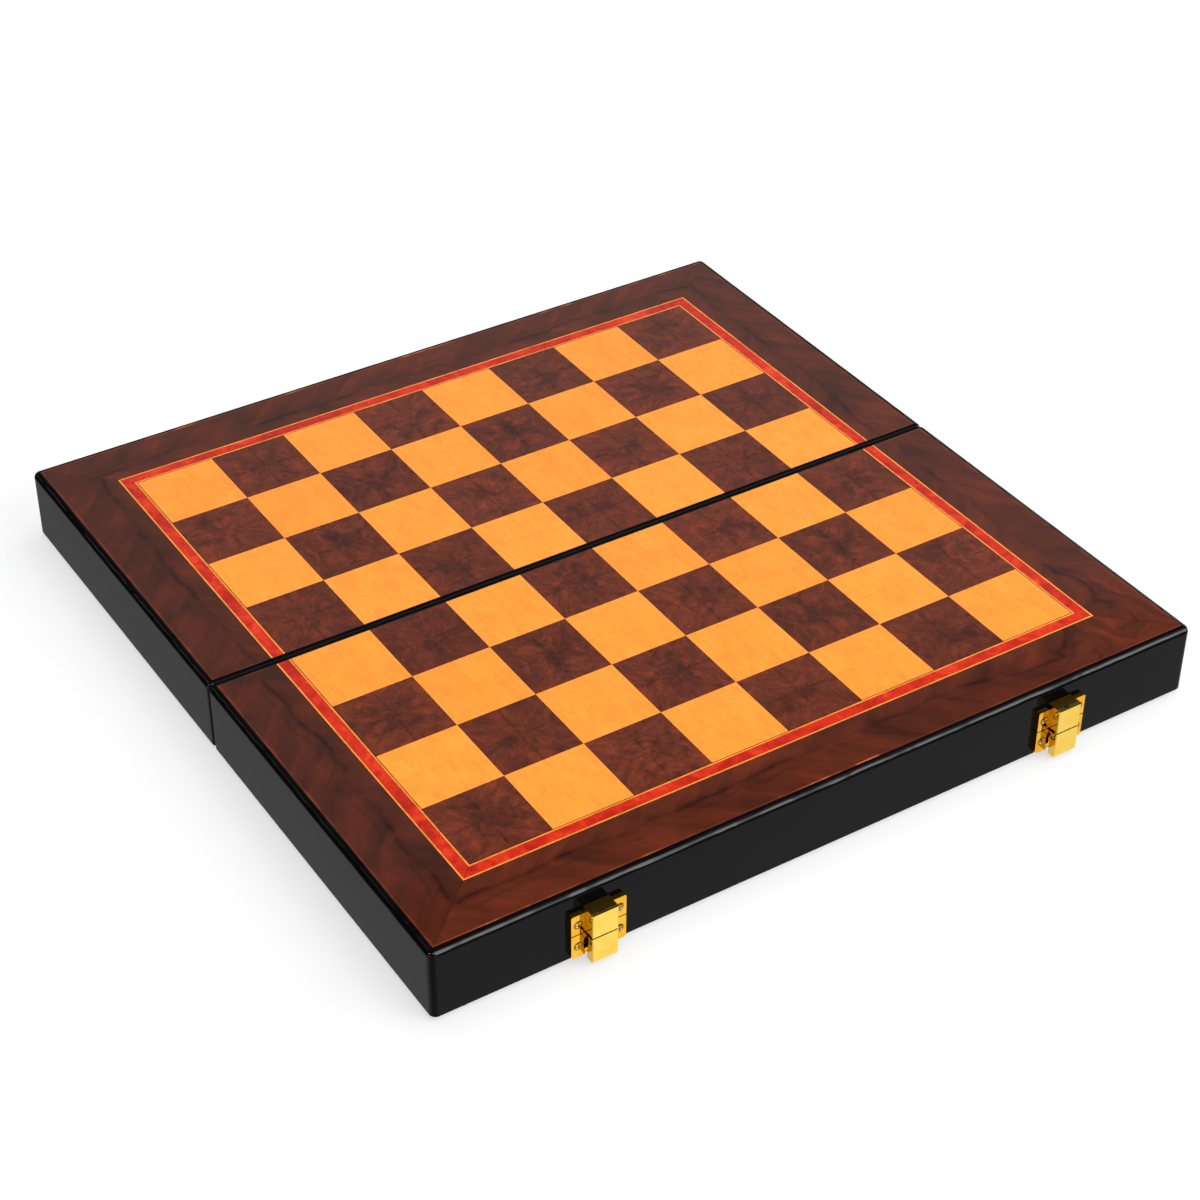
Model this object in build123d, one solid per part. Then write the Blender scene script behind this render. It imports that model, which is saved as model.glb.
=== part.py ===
from build123d import *
import os

# Folding chess board, shown open and flat with the playing surface up.
# The two halves are hollow cases that fold about the seam, rims together, and
# then make a flat storage box. Millimetres, +Z up. X runs along the seam, Y
# from front to back. Origin: middle of the seam, on the surface it rests on.

# ---- driving dimensions -------------------------------------------------
W = 300.0            # open board, along X
D = 300.0            # open board, along Y
CASE_H = 27.0        # one half, rim to playing surface
FOOT_T = 1.5         # felt foot thickness = hinge knuckle radius
FOOT_R = 3.0
RIM = FOOT_T         # height of the rims and of the fold axis
TOP = RIM + CASE_H   # height of the playing surface
SEAM = 0.1           # each half stops this far from the middle plane
RAIL_T = 9.0         # outer, left and right rails
INNER_T = 8.0        # rail along the seam
EDGE_R = 2.2         # rounded top edge, outside
EDGE_R_SEAM = 1.5    # rounded top edge, along the seam
CORNER_R = 2.4       # vertical corners, outside
CORNER_R_SEAM = 1.2
RIM_R = 0.6          # bottom edge
BAND = 2.5           # black band between the case side and the veneer
BAND_SEAM = 1.9      # the same along the seam, from the middle plane
VENEER_T = 0.6
PANEL_T = 4.0
RABBET = 3.0         # how far the panel sits on the rails

SQUARE = 30.0
LINE_T = 0.3         # dark line round the squares
STRING_T = 0.55      # golden stringing
RED_T = 4.0          # red band

PAD_T = 1.5          # padded floor of the compartments
LINER_T = 0.8
DIVIDER_T = 2.6
DIVIDER_Z = 2.0      # dividers stop this far inside the rim
MAJOR_DEPTH = 75.0   # compartments for the tall pieces

HINGE_X = 90.0       # two butt hinges, at plus and minus this
HINGE_L = 25.0
LEAF_W = 7.1
LEAF_T = 0.8
KNUCKLE_R = 1.5
HINGE_PIN_R = 0.6
RUN = 0.05           # running clearance round a pin

CLASP_X = 92.0       # two clasps, at plus and minus this
CLASP_W = 20.0
WING_T = 1.8
WING_IN = 4.9        # inner edge of the wings
WEB_T = 0.8
BLOCK_W = 9.4
BLOCK_Y = 5.7        # how far the block stands out from the case
UP_LO, UP_HI = 11.1, 19.0        # upper plate, above the rim
LO_LO, LO_HI = 1.6, 10.7         # lower plate
BLOCK_LO, BLOCK_HI = 10.9, 20.2  # fixed block of the upper plate
LEVER_LO, LEVER_HI = 0.2, 10.5
LEVER_BACK = 2.6
LEVER_PIN_Y, LEVER_PIN_Z = 3.9, 8.7
LEVER_PIN_R = 0.5
EAR_X0, EAR_X1, EAR_R = 3.75, 4.65, 1.0
SCREW_X = 7.45

HASP_PIN_Y, HASP_PIN_Z = 1.5, 1.7
STRAP_W, STRAP_T, STRAP_L = 6.0, 1.2, 10.5
SLOT_W, SLOT_0, SLOT_1 = 3.4, 6.4, 9.2

os.makedirs("parts", exist_ok=True)


def block(x0, x1, y0, y1, z0, z1):
    return Pos((x0 + x1) / 2, (y0 + y1) / 2, (z0 + z1) / 2) * Box(
        abs(x1 - x0), abs(y1 - y0), abs(z1 - z0)
    )


def prism(points, z0, z1):
    """A polygon in the XY plane, extruded from z0 to z1."""
    face = make_face(Polyline(*points, close=True))
    return Pos(0, 0, z0) * extrude(face, z1 - z0)


def slab(points, x0, x1):
    """A polygon given as (y, z), extruded along X from x0 to x1."""
    wire = Polyline(*[(0, y, z) for y, z in points], close=True)
    return Pos(x0, 0, 0) * extrude(make_face(wire), x1 - x0, dir=(1, 0, 0))


def rod_x(r, x0, x1, y, z):
    return Pos((x0 + x1) / 2, y, z) * (Rot(0, 90, 0) * Cylinder(r, abs(x1 - x0)))


def rod_y(r, y0, y1, x, z):
    return Pos(x, (y0 + y1) / 2, z) * (Rot(90, 0, 0) * Cylinder(r, abs(y1 - y0)))


def rod_z(r, z0, z1, x, y):
    return Pos(x, y, (z0 + z1) / 2) * Cylinder(r, abs(z1 - z0))


def solids(*items):
    out = []
    for item in items:
        for one in item if isinstance(item, (list, tuple)) else [item]:
            out.extend(one.solids())
    return out


def save(name, *items):
    found = solids(*items)
    shape = found[0] if len(found) == 1 else Compound(children=found)
    export_step(shape, f"parts/{name}.step")


def turned(items):
    """The same pieces on the back half: a half turn about +Z."""
    return [Rot(0, 0, 180) * one for one in solids(items)]


def fillet_some(part, r, test):
    edges = [e for e in part.edges() if test(e)]
    return fillet(edges, r) if edges else part


def lies(e, **want):
    """True if the straight edge e lies at every coordinate given."""
    if e.geom_type != GeomType.LINE:
        return False
    a, b = e @ 0, e @ 1
    for axis, value in want.items():
        i = "xyz".index(axis)
        if abs(tuple(a)[i] - value) > 1e-3 or abs(tuple(b)[i] - value) > 1e-3:
            return False
    return True


# ---- screws -------------------------------------------------------------
def wood_screw(head_r, head_h, shank_r, length, dome):
    """Countersunk screw, axis along +Z, head face at z = 0, point at z = length."""
    prof = [
        (0, 0),
        (head_r, 0),
        (shank_r, head_h),
        (shank_r, length - 1.4),
        (0, length),
    ]
    wire = Polyline(*[(x, 0, z) for x, z in prof], close=True)
    body = revolve(make_face(wire), Axis.Z)
    if dome:
        ball_r = (head_r**2 + dome**2) / (2 * dome)
        cap = Pos(0, 0, ball_r - dome) * Sphere(ball_r)
        cap = cap & block(-head_r, head_r, -head_r, head_r, -dome, 0)
        body = body + cap
    deep = 0.35
    body = body - block(-head_r * 0.8, head_r * 0.8, -0.2, 0.2, -dome - 0.1, deep)
    body = body - block(-0.2, 0.2, -head_r * 0.8, head_r * 0.8, -dome - 0.1, deep)
    return body.solids()[0]


def screw_space(head_r, head_h, shank_r, length, gap):
    """The hole that such a screw fills, a little larger."""
    prof = [
        (0, -1.0),
        (head_r + gap, -1.0),
        (head_r + gap, 0),
        (shank_r + gap, head_h),
        (shank_r + gap, length - 1.4),
        (0, length + gap),
    ]
    wire = Polyline(*[(x, 0, z) for x, z in prof], close=True)
    return revolve(make_face(wire), Axis.Z).solids()[0]


HINGE_SCREW = dict(head_r=1.4, head_h=0.7, shank_r=0.7, length=7.5)
CLASP_SCREW = dict(head_r=1.5, head_h=0.8, shank_r=0.75, length=7.0)
GAP = 0.02
PLATE_Z = (UP_LO + UP_HI) / 2       # height of the upper plate's screws
LOWER_Z = (LO_LO + LO_HI) / 2
HASP_Z = 5.6

# head up under the rim, point up: axis +Z
hinge_screw_at = [
    (HINGE_X * s + dx, -4.35) for s in (-1, 1) for dx in (-8.6, 8.6)
]
# head at the front face, point to the back: axis +Y
clasp_screw_at = [
    (CLASP_X * s + dx, z)
    for s in (-1, 1)
    for dx in (-SCREW_X, SCREW_X)
    for z in (RIM + PLATE_Z, RIM + LOWER_Z)
]
hasp_screw_at = [
    (CLASP_X * s + dx, RIM + HASP_Z) for s in (-1, 1) for dx in (-SCREW_X, SCREW_X)
]
WING_FACE = -D / 2 - WING_T
HASP_T = 1.2
HASP_FACE = -D / 2 - HASP_T

hinge_screw = wood_screw(dome=0.0, **HINGE_SCREW)
clasp_screw = wood_screw(dome=0.3, **CLASP_SCREW)
hinge_hole = screw_space(gap=GAP, **HINGE_SCREW)
clasp_hole = screw_space(gap=GAP, **CLASP_SCREW)


def to_y(shape, x, y, z):
    """Turns a +Z screw to point along +Y with its head face at y."""
    return Pos(x, y, z) * (Rot(-90, 0, 0) * shape)


hinge_screws = [Pos(x, y, RIM) * hinge_screw for x, y in hinge_screw_at]
hinge_holes = [Pos(x, y, RIM) * hinge_hole for x, y in hinge_screw_at]
clasp_screws = [to_y(clasp_screw, x, WING_FACE, z) for x, z in clasp_screw_at]
clasp_holes = [to_y(clasp_hole, x, WING_FACE, z) for x, z in clasp_screw_at]
hasp_screws = [to_y(clasp_screw, x, HASP_FACE, z) for x, z in hasp_screw_at]
hasp_holes = [to_y(clasp_hole, x, HASP_FACE, z) for x, z in hasp_screw_at]

# ---- case of one half (front half, y below 0) ---------------------------
X1 = W / 2
Y0, Y1 = -D / 2, -SEAM
IX = X1 - RAIL_T                                  # inside faces
IY0, IY1 = Y0 + RAIL_T, Y1 - INNER_T
VX, VY0, VY1 = X1 - BAND, Y0 + BAND, -BAND_SEAM   # veneer outline
PX, PY0, PY1 = IX + RABBET, IY0 - RABBET, IY1 + RABBET   # panel outline
Z_V = TOP - VENEER_T                              # under the veneer
Z_P = Z_V - PANEL_T                               # under the panel

case = block(-X1, X1, Y0, Y1, RIM, TOP)
case = fillet_some(case, CORNER_R, lambda e: lies(e, y=Y0, x=X1) or lies(e, y=Y0, x=-X1))
case = fillet_some(
    case, EDGE_R, lambda e: (e @ 0).Z > TOP - 0.01 and (e @ 1).Z > TOP - 0.01 and (e @ 0.5).Y < -1
)
# this rounding runs on down the two upright corners at the seam
case = fillet_some(case, EDGE_R_SEAM, lambda e: lies(e, y=Y1, z=TOP))
case = fillet_some(case, RIM_R, lambda e: (e @ 0).Z < RIM + 0.01 and (e @ 1).Z < RIM + 0.01)

case = case - block(-IX, IX, IY0, IY1, RIM - 1, TOP + 1)
case = case - block(-PX, PX, PY0, PY1, Z_P, TOP + 1)
case = case - block(-VX, VX, VY0, VY1, Z_V, TOP + 1)

# hinge mortises in the rim and a cove for the knuckles
for s in (-1, 1):
    hx0, hx1 = HINGE_X * s - HINGE_L / 2 - 0.1, HINGE_X * s + HINGE_L / 2 + 0.1
    case = case - block(hx0, hx1, -LEAF_W - 0.05, 0, RIM - 1, RIM + LEAF_T + 0.02)
    case = case - rod_x(KNUCKLE_R + 0.3, hx0, hx1, 0, RIM)

Z_LO, Z_HI = RIM - 5, TOP + 5
cut_outer = prism([(-X1, Y0), (X1, Y0), (IX, IY0), (-IX, IY0)], Z_LO, Z_HI)
cut_left = prism([(-X1, Y0), (-IX, IY0), (-IX, 1), (-X1, 1)], Z_LO, Z_HI)
cut_right = prism([(X1, Y0), (IX, IY0), (IX, 1), (X1, 1)], Z_LO, Z_HI)
cut_inner = prism([(-IX, IY1), (IX, IY1), (IX, 1), (-IX, 1)], Z_LO, Z_HI)

outer_rail = case & cut_outer
left_rail = case & cut_left
right_rail = case & cut_right
inner_rail = case & cut_inner
front_outer, back_outer = outer_rail, outer_rail
for hole in hinge_holes:
    inner_rail = inner_rail - hole
for hole in clasp_holes:
    front_outer = front_outer - hole
for hole in hasp_holes:
    back_outer = back_outer - hole

top_panel = block(-PX, PX, PY0, PY1, Z_P, Z_V)

# ---- veneered playing surface -------------------------------------------
GX, GY1 = 4 * SQUARE, VY1
GY0 = GY1 - 4 * SQUARE


def frame_strips(inner, outer_):
    """A U of three mitred strips round the squares: front, left, right. Each
    limit is (x, y) of its corner."""
    (xi, yi), (xo, yo) = inner, outer_
    front = prism([(-xo, yo), (xo, yo), (xi, yi), (-xi, yi)], Z_V, TOP)
    left = prism([(-xo, yo), (-xi, yi), (-xi, VY1), (-xo, VY1)], Z_V, TOP)
    right = prism([(xo, yo), (xo, VY1), (xi, VY1), (xi, yi)], Z_V, TOP)
    return front, left, right


limits = [0.0]
for width in (LINE_T, STRING_T, RED_T, STRING_T):
    limits.append(limits[-1] + width)
corner = [(GX + v, GY0 - v) for v in limits] + [(VX, VY0)]
dark_line = frame_strips(corner[0], corner[1])
inner_string = frame_strips(corner[1], corner[2])
red_band = frame_strips(corner[2], corner[3])
outer_string = frame_strips(corner[3], corner[4])
border = frame_strips(corner[4], corner[5])

light, dark = [], []
for i in range(8):
    for j in range(4):
        sq = block(
            -GX + i * SQUARE,
            -GX + (i + 1) * SQUARE,
            GY0 + j * SQUARE,
            GY0 + (j + 1) * SQUARE,
            Z_V,
            TOP,
        )
        (dark if (i + j) % 2 == 0 else light).append(sq)

# ---- inside: padded floor, wall lining, dividers ------------------------
PAD_Z = Z_P - PAD_T
floor_pad = block(-IX, IX, IY0, IY1, PAD_Z, Z_P)
LZ = RIM + 0.8
LX, LY0, LY1 = IX - LINER_T, IY0 + LINER_T, IY1 - LINER_T
wall_lining = [
    block(-IX, IX, IY0, LY0, LZ, PAD_Z),
    block(-IX, IX, LY1, IY1, LZ, PAD_Z),
    block(-IX, -LX, LY0, LY1, LZ, PAD_Z),
    block(LX, IX, LY0, LY1, LZ, PAD_Z),
]
DZ = RIM + DIVIDER_Z
MY1 = LY0 + MAJOR_DEPTH
long_divider = block(-LX, LX, MY1, MY1 + DIVIDER_T, DZ, PAD_Z)


def dividers(count, y0, y1):
    """count compartments need count - 1 dividers."""
    pitch = (2 * LX + DIVIDER_T) / count
    return [
        block(-LX + k * pitch - DIVIDER_T, -LX + k * pitch, y0, y1, DZ, PAD_Z)
        for k in range(1, count)
    ]


major_dividers = dividers(8, LY0, MY1)
pawn_dividers = dividers(4, MY1 + DIVIDER_T, LY1)

# ---- felt feet under the outer rail -------------------------------------
FOOT_Y = Y0 + 4.5
front_feet = [rod_z(FOOT_R, 0, FOOT_T, x, FOOT_Y) for x in (-138.0, 138.0)]
back_feet = [rod_z(FOOT_R, 0, FOOT_T, x, -FOOT_Y) for x in (-128.0, 128.0)]

# ---- hinges -------------------------------------------------------------
KN = HINGE_L / 5


def leaf(x, front):
    """One leaf at x. The front leaf has three knuckles and the back one two."""
    side = -1 if front else 1
    x0 = x - HINGE_L / 2
    ya, yb = side * LEAF_W, side * (KNUCKLE_R + 0.25)
    body = block(x0, x0 + HINGE_L, min(ya, yb), max(ya, yb), RIM, RIM + LEAF_T)
    body = fillet_some(body, 1.0, lambda e: lies(e, y=ya) and abs((e @ 0).X - (e @ 1).X) < 1e-6)
    for k in range(5):
        if (k % 2 == 0) != front:
            continue
        g0 = 0.0 if k == 0 else 0.1
        g1 = 0.0 if k == 4 else 0.1
        k0, k1 = x0 + k * KN + g0, x0 + (k + 1) * KN - g1
        body = body + block(k0, k1, min(0, yb), max(0, yb), RIM, RIM + LEAF_T)
        body = body + rod_x(KNUCKLE_R, k0, k1, 0, RIM)
    bore = HINGE_PIN_R if front else HINGE_PIN_R + RUN
    body = body - rod_x(bore, x0 - 1, x0 + HINGE_L + 1, 0, RIM)
    holes = hinge_holes if front else turned(hinge_holes)
    for hole in holes:
        if abs(hole.center().X - x) < HINGE_L / 2:
            body = body - hole
    return body.solids()[0]


front_leaves = [leaf(HINGE_X * s, True) for s in (-1, 1)]
back_leaves = [leaf(HINGE_X * s, False) for s in (-1, 1)]
hinge_pins = [
    rod_x(HINGE_PIN_R, HINGE_X * s - HINGE_L / 2, HINGE_X * s + HINGE_L / 2, 0, RIM)
    for s in (-1, 1)
]


# ---- clasps on the front outer rail -------------------------------------
# u is the distance out from the case's face, v the height above the rim
def cb(x0, x1, u0, u1, v0, v1):
    return block(x0, x1, Y0 - u1, Y0 - u0, RIM + v0, RIM + v1)


def crod(r, x0, x1, u, v):
    return rod_x(r, x0, x1, Y0 - u, RIM + v)


def upper_plate(x):
    plate = cb(x - CLASP_W / 2, x + CLASP_W / 2, 0, WING_T, UP_LO, UP_HI)
    plate = fillet_some(
        plate,
        0.6,
        lambda e: abs((e @ 0).X - (e @ 1).X) < 1e-6
        and abs((e @ 0).Z - (e @ 1).Z) < 1e-6
        and (e @ 0).Z > RIM + UP_HI - 0.01,
    )
    b0, b1 = x - BLOCK_W / 2, x + BLOCK_W / 2
    boss = cb(b0, b1, 0, BLOCK_Y, BLOCK_LO, BLOCK_HI)
    boss = fillet_some(
        boss,
        0.3,
        lambda e: (e @ 0.5).Y < Y0 - BLOCK_Y + 0.01 and (e @ 0.5).Z > RIM + BLOCK_LO + 0.01,
    )
    boss = boss - crod(LEVER_R + 0.15, b0 - 1, b1 + 1, LEVER_PIN_Y, LEVER_PIN_Z)
    plate = plate + boss
    plate = plate - cb(x - 2.0, x + 0.2, 3.9, 5.1, BLOCK_HI - 0.7, BLOCK_HI + 1)
    for hole in clasp_holes:
        c = hole.center()
        if abs(c.X - x) < CLASP_W / 2 and c.Z > RIM + UP_LO:
            plate = plate - hole
    return plate.solids()[0]


LEVER_R = 2.5        # swept radius of the lever's head about its pin


def lower_plate(x):
    parts_ = None
    h = LO_HI - LO_LO
    mid = (LO_LO + LO_HI) / 2
    for s in (-1, 1):
        wing = cb(x + s * WING_IN, x + s * CLASP_W / 2, 0, WING_T, LO_LO, LO_HI)
        wing = fillet_some(
            wing,
            1.1,
            lambda e: abs((e @ 0).Z - (e @ 1).Z) < 1e-6
            and abs((e @ 0).X - (e @ 1).X) < 1e-6
            and (e @ 0).Z < RIM + LO_LO + 0.01
            and abs((e @ 0).X - x) > 9,
        )
        # the inner edge is a shallow bow, so that the slot beside the lever is
        # widest at mid height
        sag, half = 0.75, h / 2 - 0.7
        r = (half**2 + sag**2) / (2 * sag)
        cut = rod_y(r, Y0 - WING_T - 1, Y0 + 1, x + s * (WING_IN + sag - r), RIM + mid)
        wing = wing - cut
        parts_ = wing if parts_ is None else parts_ + wing
    web = cb(x - 5.4, x + 5.4, 0, WEB_T, 7.4, LO_HI)
    web = web + cb(x - 5.4, x + 5.4, 0, WEB_T, LO_LO, 2.9)
    web = web + cb(x - 3.3, x + 3.3, 0, WEB_T, LO_LO, LO_HI)
    lug = cb(x - 1.5, x + 1.5, 0, 2.35, 3.3, 5.5)
    lug = fillet_some(lug, 0.3, lambda e: (e @ 0.5).Y < Y0 - 2.34)
    parts_ = parts_ + web + lug
    for s in (-1, 1):
        e0, e1 = x + s * EAR_X0, x + s * EAR_X1
        lo, hi = min(e0, e1), max(e0, e1)
        ear = cb(lo, hi, 0, LEVER_PIN_Y, LEVER_PIN_Z - EAR_R, LEVER_PIN_Z + EAR_R)
        ear = ear + crod(EAR_R, lo, hi, LEVER_PIN_Y, LEVER_PIN_Z)
        parts_ = parts_ + ear
    parts_ = parts_ - crod(LEVER_PIN_R, x - 6, x + 6, LEVER_PIN_Y, LEVER_PIN_Z)
    for hole in clasp_holes:
        c = hole.center()
        if abs(c.X - x) < CLASP_W / 2 and c.Z < RIM + LO_HI:
            parts_ = parts_ - hole
    return parts_.solids()[0]


def lever(x):
    b0, b1 = x - BLOCK_W / 2, x + BLOCK_W / 2
    body = cb(b0, b1, LEVER_BACK, BLOCK_Y, LEVER_LO, LEVER_HI)
    front = Y0 - BLOCK_Y
    body = fillet_some(body, 0.8, lambda e: lies(e, y=front, z=RIM + LEVER_LO))
    body = fillet_some(body, 0.15, lambda e: lies(e, y=front, z=RIM + LEVER_HI))
    body = fillet_some(body, 0.3, lambda e: lies(e, y=front, x=b0) or lies(e, y=front, x=b1))
    # bevel that clears the plate as the lever swings up
    back = Y0 - LEVER_BACK
    body = body - slab(
        [
            (back + 0.01, RIM + LEVER_HI + 0.01),
            (back - 1.21, RIM + LEVER_HI + 0.01),
            (back + 0.01, RIM + LEVER_HI - 1.21),
        ],
        b0 - 1,
        b1 + 1,
    )
    # pockets for the plate's two ears
    for s in (-1, 1):
        body = body - cb(
            x + s * (EAR_X0 - 0.15), x + s * 6, LEVER_BACK - 1, 5.1, 7.4, LEVER_HI + 1
        )
    # thumb hollow under the lower edge
    body = body - crod(1.0, b0 + 1.6, b1 - 1.6, LEVER_BACK, LEVER_LO)
    body = body - crod(LEVER_PIN_R + RUN, x - 6, x + 6, LEVER_PIN_Y, LEVER_PIN_Z)
    return body.solids()[0]


def lever_pin(x):
    return crod(LEVER_PIN_R, x - EAR_X1, x + EAR_X1, LEVER_PIN_Y, LEVER_PIN_Z)


# ---- hasps on the back outer rail, made at the front and turned ---------
def hasp_plate(x):
    plate = None
    for s in (-1, 1):
        wing = cb(x + s * 3.3, x + s * CLASP_W / 2, 0, HASP_T, 1.0, 9.4)
        wing = fillet_some(
            wing,
            1.0,
            lambda e: abs((e @ 0).Z - (e @ 1).Z) < 1e-6
            and abs((e @ 0).X - (e @ 1).X) < 1e-6
            and abs((e @ 0).X - x) > 9,
        )
        plate = wing if plate is None else plate + wing
    plate = plate + cb(x - 3.5, x + 3.5, 0, 0.7, 3.6, 9.4)
    for s in (-1, 1):
        e0, e1 = x + s * 3.3, x + s * 4.4
        lo, hi = min(e0, e1), max(e0, e1)
        plate = plate + crod(1.3, lo, hi, HASP_PIN_Y, HASP_PIN_Z)
        plate = plate + cb(lo, hi, 0, HASP_PIN_Y, HASP_PIN_Z - 0.7, HASP_PIN_Z + 1.3)
    plate = plate - crod(LEVER_PIN_R, x - 6, x + 6, HASP_PIN_Y, HASP_PIN_Z)
    for hole in hasp_holes:
        if abs(hole.center().X - x) < CLASP_W / 2:
            plate = plate - hole
    return plate.solids()[0]


def hasp_strap(x):
    u0, u1 = HASP_PIN_Y - STRAP_T / 2, HASP_PIN_Y + STRAP_T / 2
    end = HASP_PIN_Z + STRAP_L
    strap = cb(x - STRAP_W / 2, x + STRAP_W / 2, u0, u1, HASP_PIN_Z, end)
    strap = fillet_some(
        strap,
        1.6,
        lambda e: abs((e @ 0).Z - (e @ 1).Z) < 1e-6
        and abs((e @ 0).X - (e @ 1).X) < 1e-6
        and (e @ 0).Z > RIM + end - 0.01,
    )
    strap = strap + crod(1.15, x - STRAP_W / 2, x + STRAP_W / 2, HASP_PIN_Y, HASP_PIN_Z)
    strap = strap - cb(
        x - SLOT_W / 2, x + SLOT_W / 2, 0, 4, HASP_PIN_Z + SLOT_0, HASP_PIN_Z + SLOT_1
    )
    strap = strap - crod(LEVER_PIN_R + RUN, x - 6, x + 6, HASP_PIN_Y, HASP_PIN_Z)
    return strap.solids()[0]


def hasp_pin(x):
    return crod(LEVER_PIN_R, x - 4.4, x + 4.4, HASP_PIN_Y, HASP_PIN_Z)


# ---- write the pieces ----------------------------------------------------
half = {
    "left_rail": left_rail,
    "right_rail": right_rail,
    "inner_rail": inner_rail,
    "top_panel": top_panel,
    "light_squares": light,
    "dark_squares": dark,
    "square_line": dark_line,
    "inner_stringing": inner_string,
    "red_band": red_band,
    "outer_stringing": outer_string,
    "border_outer": border[0],
    "border_left": border[1],
    "border_right": border[2],
    "floor_pad": floor_pad,
    "wall_lining": wall_lining,
    "long_divider": long_divider,
    "major_dividers": major_dividers,
    "pawn_dividers": pawn_dividers,
}
mirror_name = {
    "left_rail": "right_rail",
    "right_rail": "left_rail",
    "border_left": "border_right",
    "border_right": "border_left",
}
for name, shape in half.items():
    save("front_" + name, shape)
    save("back_" + mirror_name.get(name, name), turned(solids(shape)))
save("front_outer_rail", front_outer)
save("back_outer_rail", turned(solids(back_outer)))
save("front_felt_feet", front_feet)
save("back_felt_feet", back_feet)
save("front_hinge_leaves", front_leaves)
save("back_hinge_leaves", back_leaves)
save("hinge_pins", hinge_pins)
save("front_hinge_screws", hinge_screws)
save("back_hinge_screws", turned(hinge_screws))
for side, x in (("left", -CLASP_X), ("right", CLASP_X)):
    save(f"clasp_upper_plate_{side}", upper_plate(x))
    save(f"clasp_lower_plate_{side}", lower_plate(x))
    save(f"clasp_lever_{side}", lever(x))
    save(f"hasp_plate_{side}", turned([hasp_plate(-x)]))
    save(f"hasp_strap_{side}", turned([hasp_strap(-x)]))
save("clasp_lever_pins", [lever_pin(x) for x in (-CLASP_X, CLASP_X)])
save("clasp_screws", clasp_screws)
save("hasp_pins", turned([hasp_pin(x) for x in (-CLASP_X, CLASP_X)]))
save("hasp_screws", turned(hasp_screws))
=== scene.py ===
import math

import bmesh
import bpy
from mathutils import Matrix, Vector


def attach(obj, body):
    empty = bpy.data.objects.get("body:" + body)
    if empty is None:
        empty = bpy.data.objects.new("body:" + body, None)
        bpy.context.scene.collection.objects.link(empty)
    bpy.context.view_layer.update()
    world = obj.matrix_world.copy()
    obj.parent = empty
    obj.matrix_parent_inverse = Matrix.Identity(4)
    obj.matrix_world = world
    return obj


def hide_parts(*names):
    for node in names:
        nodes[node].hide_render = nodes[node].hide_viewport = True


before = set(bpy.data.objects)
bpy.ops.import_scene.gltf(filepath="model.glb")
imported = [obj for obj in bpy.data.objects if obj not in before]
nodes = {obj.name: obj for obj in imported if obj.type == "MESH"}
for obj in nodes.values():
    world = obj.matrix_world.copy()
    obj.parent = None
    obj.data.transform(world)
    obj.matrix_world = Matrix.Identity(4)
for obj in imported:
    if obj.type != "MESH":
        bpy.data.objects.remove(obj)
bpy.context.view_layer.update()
scene = bpy.context.scene

MM = 0.001

# ---- camera --------------------------------------------------------------
cam_data = bpy.data.cameras.new("camera")
cam = bpy.data.objects.new("camera", cam_data)
scene.collection.objects.link(cam)
cam_data.sensor_width = 36.0
cam_data.lens = 2646.1 * 36.0 / 1200.0
cam_data.clip_start, cam_data.clip_end = 0.02, 60.0
right = Vector((0.8446439, -0.5353141, 0.0039356))
down = Vector((-0.3187626, -0.5088379, -0.7996714))
ahead = Vector((0.4300780, 0.6741830, -0.6004250))
turn = Matrix((right, -down, -ahead)).transposed().to_4x4()
cam.matrix_world = Matrix.Translation((-0.40935, -0.64897, 0.58039)) @ turn
scene.camera = cam

# ---- light and floor -----------------------------------------------------
scene.view_settings.view_transform = "Standard"
scene.view_settings.look = "None"
scene.view_settings.exposure = 0.0
scene.view_settings.gamma = 1.0


def area(name, at, target, size, size_y, power, colour=(1, 1, 1)):
    """A rectangular softbox."""
    data = bpy.data.lights.new(name, "AREA")
    data.shape = "RECTANGLE"
    data.size, data.size_y = size, size_y
    data.energy = power
    data.color = colour
    ob = bpy.data.objects.new(name, data)
    scene.collection.objects.link(ob)
    ob.location = at
    ob.rotation_mode = "QUATERNION"
    ob.rotation_quaternion = (Vector(target) - Vector(at)).to_track_quat("-Z", "Y")
    return ob


def box_power(luminance, size, size_y):
    """Watts that give a softbox that luminance."""
    return luminance * math.pi * size * size_y


# the overhead box and the fill only light the object; the card and the strip are what the polish shows along its edges
overhead = area("overhead_softbox", (0.05, 0.10, 1.45), (0.0, 0.0, 0.0), 1.5, 1.3, box_power(2.3, 1.5, 1.3))
fill = area("front_fill", (0.50, -0.86, 0.86), (0.0, -0.08, 0.0), 1.15, 0.16, box_power(13.0, 1.15, 0.16))
overhead.visible_glossy = fill.visible_glossy = False
card = area("front_card", (0.50, -0.95, 0.78), (0.0, -0.15, 0.0), 1.5, 1.35, box_power(1.75, 1.5, 1.35))
strip = area("left_strip", (-1.10, 1.44, 1.03), (-0.15, 0.0, 0.0), 0.30, 1.05, box_power(1.3, 0.30, 1.05))
left_box = area("left_box", (-1.39, -0.02, 0.87), (-0.15, -0.15, 0.03), 0.22, 0.22, box_power(7.0, 0.22, 0.22))
front_box = area("front_box", (-0.50, -0.98, 0.98), (-0.15, -0.15, 0.03), 0.20, 0.20, box_power(6.0, 0.20, 0.20))
for one in (card, strip, left_box, front_box):
    one.visible_diffuse = False
mirrors = bpy.data.collections.new("lit_by_front_card")
for one in (card, strip, left_box, front_box):
    one.light_linking.receiver_collection = mirrors
for half in ("front", "back"):
    for rail in ("left", "right", "inner", "outer"):
        mirrors.objects.link(nodes[f"{half}_{rail}_rail"])
area("right_strip", (1.15, 0.35, 0.55), (0.0, 0.0, 0.0), 0.9, 0.25, box_power(2.2, 0.9, 0.25))

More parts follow.
